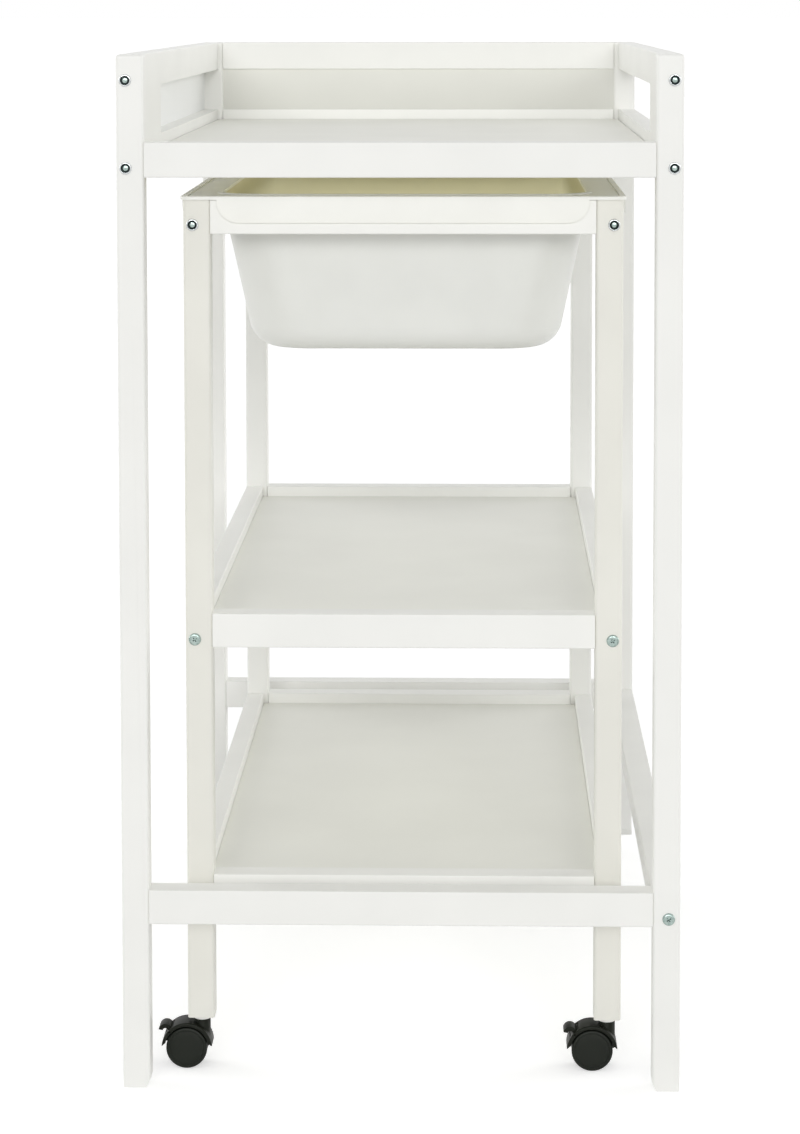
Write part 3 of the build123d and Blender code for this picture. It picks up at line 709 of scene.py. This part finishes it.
def caster_wheel(materials):
    """One wheel at the origin, its axle along Z and its outer face up."""
    wheel = start_cylinder("wheel_model", WHEEL_RADIUS - TREAD_EASE, WHEEL_WIDTH, WHEEL_SIDES)
    cap = WHEEL_WIDTH / 2 * NEAR_END
    choose_edges(wheel, lambda v: abs(v.z) > cap)
    bpy.ops.mesh.bevel(offset=TREAD_ROUND, segments=TREAD_STEPS, profile=0.5)
    choose_faces(wheel, lambda c, n: n.z > SQUARE and c.z > cap)
    bpy.ops.mesh.inset(thickness=RIM_WIDTH)
    bpy.ops.mesh.inset(thickness=STEP_WIDTH, depth=-RIM_STEP)
    for width, rise in zip(CROWN_WIDTHS, CROWN_RISES):
        bpy.ops.mesh.inset(thickness=width, depth=rise)
    choose_faces(wheel, lambda c, n: n.z < -SQUARE and c.z < -cap)
    bpy.ops.mesh.inset(thickness=RIM_WIDTH)
    bpy.ops.mesh.inset(thickness=STEP_WIDTH, depth=-RIM_STEP)
    inner_radius = WHEEL_RADIUS - TREAD_ROUND - RIM_WIDTH - STEP_WIDTH
    bpy.ops.mesh.inset(thickness=inner_radius - 2 * AXLE_RADIUS)
    bpy.ops.mesh.inset(thickness=STEP_WIDTH, depth=RIM_STEP)
    finish_piece(wheel, PLASTIC_SMOOTH)
    dress(wheel, materials["black_wheel_plastic"])
    return wheel


def wheel_axle(materials, length):
    """The axle between two wheels, along Z, its ends eased."""
    axle = start_cylinder("axle_model", AXLE_RADIUS, length, AXLE_SIDES)
    choose_edges(axle, lambda v: abs(v.z) > length / 2 * NEAR_END)
    bpy.ops.mesh.bevel(offset=AXLE_ROUND, segments=AXLE_ROUND_STEPS)
    finish_piece(axle, PLASTIC_SMOOTH)
    dress(axle, materials["black_wheel_plastic"])
    return axle


def curved_bar(name, middle, inner, outer, start, end, steps):
    """A bar as wide as the lever, swept round a line along X between two angles."""
    bpy.ops.object.select_all(action="DESELECT")
    bpy.ops.mesh.primitive_plane_add(size=1.0)
    bar = bpy.context.active_object
    bar.name = name
    bar.scale = (LEVER_WIDTH, outer - inner, 1.0)
    bar.location = (0.0, (inner + outer) / 2, 0.0)
    settle(bar)
    bar.rotation_euler = (math.radians(start), 0.0, 0.0)
    bar.location = (0.0, *middle)
    settle(bar)
    bpy.ops.object.mode_set(mode="EDIT")
    bpy.ops.mesh.select_all(action="SELECT")
    sweep = math.radians(start - end)
    bpy.ops.mesh.spin(steps=steps, angle=sweep, center=(0.0, *middle), axis=(1.0, 0.0, 0.0))
    bpy.ops.mesh.select_all(action="SELECT")
    bpy.ops.mesh.remove_doubles(threshold=SAME_POINT)
    bpy.ops.mesh.normals_make_consistent(inside=False)
    bpy.ops.object.mode_set(mode="OBJECT")
    return bar


def brake_lever(materials):
    """The foot lever with the axle's middle at the origin."""
    lever = curved_bar("lever_model", TAB_MIDDLE, TAB_INNER, TAB_OUTER, TAB_START, TAB_END, TAB_STEPS)
    ease_edges(lever, TAB_ROUND, TAB_ROUND_STEPS, TAB_EDGE_ANGLE)
    shoe = curved_bar(
        "shoe_model", (0.0, 0.0), SHOE_INNER, SHOE_OUTER, SHOE_START, SHOE_END, SHOE_STEPS
    )
    combine(lever, shoe, "UNION")
    turn = math.radians(PIN_ANGLE)
    place = (0.0, PIN_REACH * math.cos(turn), PIN_REACH * math.sin(turn))
    pin = start_cylinder("pin_model", PIN_RADIUS, PIN_LENGTH, PIN_SIDES, place, (0.0, math.pi / 2, 0.0))
    finish_piece(pin, PLASTIC_SMOOTH)
    combine(lever, pin, "UNION")
    finish_piece(lever, PLASTIC_SMOOTH)
    dress(lever, materials["black_nylon"])
    return lever


def caster_cover(materials, corner):
    """A copy of a caster's hood whose last sharp edges are eased as the mould leaves them."""
    hood = frame["nodes"][f"caster_hood_{corner}"]
    cover = bpy.data.objects.new(f"caster_cover_{corner}", hood.data.copy())
    bpy.context.scene.collection.objects.link(cover)
    select_only(cover)
    bpy.ops.object.mode_set(mode="EDIT")
    bpy.ops.mesh.select_all(action="SELECT")
    bpy.ops.mesh.remove_doubles(threshold=SAME_POINT)
    bpy.ops.mesh.dissolve_limited(angle_limit=math.radians(FLAT_ANGLE))
    bpy.ops.object.mode_set(mode="OBJECT")
    ease_edges(cover, MOULD_ROUND, MOULD_STEPS, MOULD_EDGE_ANGLE)
    bpy.ops.object.shade_smooth_by_angle(angle=math.radians(PLASTIC_SMOOTH))
    dress(cover, materials["black_nylon"])
    return cover


def make_casters(materials):
    """Wheels, axle, hood and brake lever of the four casters."""
    wheel = caster_wheel(materials)
    low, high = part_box("caster_wheels_front_right")
    axle = wheel_axle(materials, high.x - low.x - 2 * WHEEL_WIDTH)
    lever = brake_lever(materials)
    for corner in ("front_right", "front_left", "back_right", "back_left"):
        node = f"caster_wheels_{corner}"
        low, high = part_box(node)
        middle = (low + high) / 2
        axle_height = low.z + WHEEL_RADIUS
        places = (
            (wheel, "outer", high.x - WHEEL_WIDTH / 2, math.pi / 2),
            (wheel, "inner", low.x + WHEEL_WIDTH / 2, -math.pi / 2),
            (axle, "axle", middle.x, math.pi / 2),
        )
        for master, kind, x, turn in places:
            piece = place_copy(
                master, f"caster_{kind}_{corner}", (x, middle.y, axle_height), (0.0, turn, 0.0)
            )
            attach(piece, f"wheels_{corner}")
            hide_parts(node)
        cover = caster_cover(materials, corner)
        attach(cover, f"caster_{corner}")
        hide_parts(f"caster_hood_{corner}")
        pedal = place_copy(lever, f"caster_lever_{corner}", (middle.x, middle.y, axle_height))
        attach(pedal, f"brake_{corner}")
        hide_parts(f"caster_brake_{corner}")
    for master in (wheel, axle, lever):
        discard(master)


def make_camera():
    """The photograph's view: its optical axis lies above the picture's middle, so it is shifted."""
    turn, tilt, roll = CAMERA_TURN, CAMERA_TILT, CAMERA_ROLL
    ahead = Vector((-math.cos(turn) * math.cos(tilt), math.sin(turn) * math.cos(tilt), -math.sin(tilt)))
    level = Vector((math.sin(turn), math.cos(turn), 0.0))
    above = level.cross(ahead)
    right = math.cos(roll) * level + math.sin(roll) * above
    up = -math.sin(roll) * level + math.cos(roll) * above
    data = bpy.data.cameras.new("camera")
    data.sensor_width = SENSOR_WIDTH
    data.lens = FOCAL_PIXELS * SENSOR_WIDTH / PHOTO_HEIGHT
    data.shift_x = (PHOTO_WIDTH / 2 - AXIS_PIXEL[0]) / PHOTO_HEIGHT
    data.shift_y = (AXIS_PIXEL[1] - PHOTO_HEIGHT / 2) / PHOTO_HEIGHT
    camera = bpy.data.objects.new("camera", data)
    camera.matrix_world = Matrix(
        [[right[i], up[i], -ahead[i], CAMERA_PLACE[i]] for i in range(3)] + [[0, 0, 0, 1]]
    )
    bpy.context.scene.collection.objects.link(camera)
    bpy.context.scene.camera = camera


def soft_lamp(name, azimuth, elevation, strength, softness):
    """A wide, far lamp that lights the whole table alike. Azimuth counts from +X."""
    turn, rise = math.radians(azimuth), math.radians(elevation)
    direction = Vector((math.cos(turn) * math.cos(rise), math.sin(turn) * math.cos(rise), math.sin(rise)))
    data = bpy.data.lights.new(name, "SUN")
    data.angle = math.radians(softness)
    data.energy = strength
    lamp = bpy.data.objects.new(name, data)
    lamp.location = direction
    lamp.rotation_euler = direction.to_track_quat("Z", "Y").to_euler()
    bpy.context.scene.collection.objects.link(lamp)


def seen_straight(tree):
    """1 for what the camera sees straight, mirrored or through glass, and 0 for light in the room."""
    path = add(tree, "ShaderNodeLightPath")
    seen = add(
        tree,
        "ShaderNodeMath",
        {"operation": "ADD"},
        {0: path.outputs["Is Camera Ray"], 1: path.outputs["Is Glossy Ray"]},
    )
    seen = add(
        tree,
        "ShaderNodeMath",
        {"operation": "ADD", "use_clamp": True},
        {0: seen.outputs["Value"], 1: path.outputs["Is Transmission Ray"]},
    )
    return seen.outputs["Value"]


def make_light():
    """An even surround that looks white, with two soft lamps beside the camera and one each side."""
    world = bpy.data.worlds.new("studio")
    bpy.context.scene.world = world
    world.use_nodes = True
    tree = world.node_tree
    tree.nodes.clear()
    level = add(
        tree, "ShaderNodeMapRange", {"To Min": AMBIENT, "To Max": 1.0}, {"Value": seen_straight(tree)}
    )
    background = add(
        tree, "ShaderNodeBackground", {"Color": linear(WHITE)}, {"Strength": level.outputs["Result"]}
    )
    output = add(tree, "ShaderNodeOutputWorld")
    tree.links.new(background.outputs["Background"], output.inputs["Surface"])
    for lamp in LAMPS:
        soft_lamp(*lamp)


def make_floor():
    """A pale floor that renders white in the open and keeps the table's shadow."""
    bpy.ops.object.select_all(action="DESELECT")
    bpy.ops.mesh.primitive_plane_add(size=FLOOR_SIZE)
    floor = bpy.context.active_object
    floor.name = "studio_floor"
    material, tree, output, coordinates = start_material("pale studio floor")
    colour = tone_between(tree, coordinates, FLOOR_PATCH_MM, "#F1F1F1", "#F4F4F4")
    diffuse = add(tree, "ShaderNodeBsdfDiffuse", links={"Color": colour})
    lift = add(tree, "ShaderNodeMath", {"operation": "MULTIPLY", 1: FLOOR_LIFT}, {0: seen_straight(tree)})
    glow = add(tree, "ShaderNodeEmission", {"Color": linear(WHITE)}, {"Strength": lift.outputs["Value"]})
    both = add(tree, "ShaderNodeAddShader", links={0: diffuse.outputs["BSDF"], 1: glow.outputs["Emission"]})
    tree.links.new(both.outputs["Shader"], output)
    floor.data.materials.append(material)


bpy.context.scene.view_settings.view_transform = "Standard"
materials = make_materials()
dress_cad(materials)
make_fasteners(materials)
make_casters(materials)
make_camera()
make_light()
make_floor()
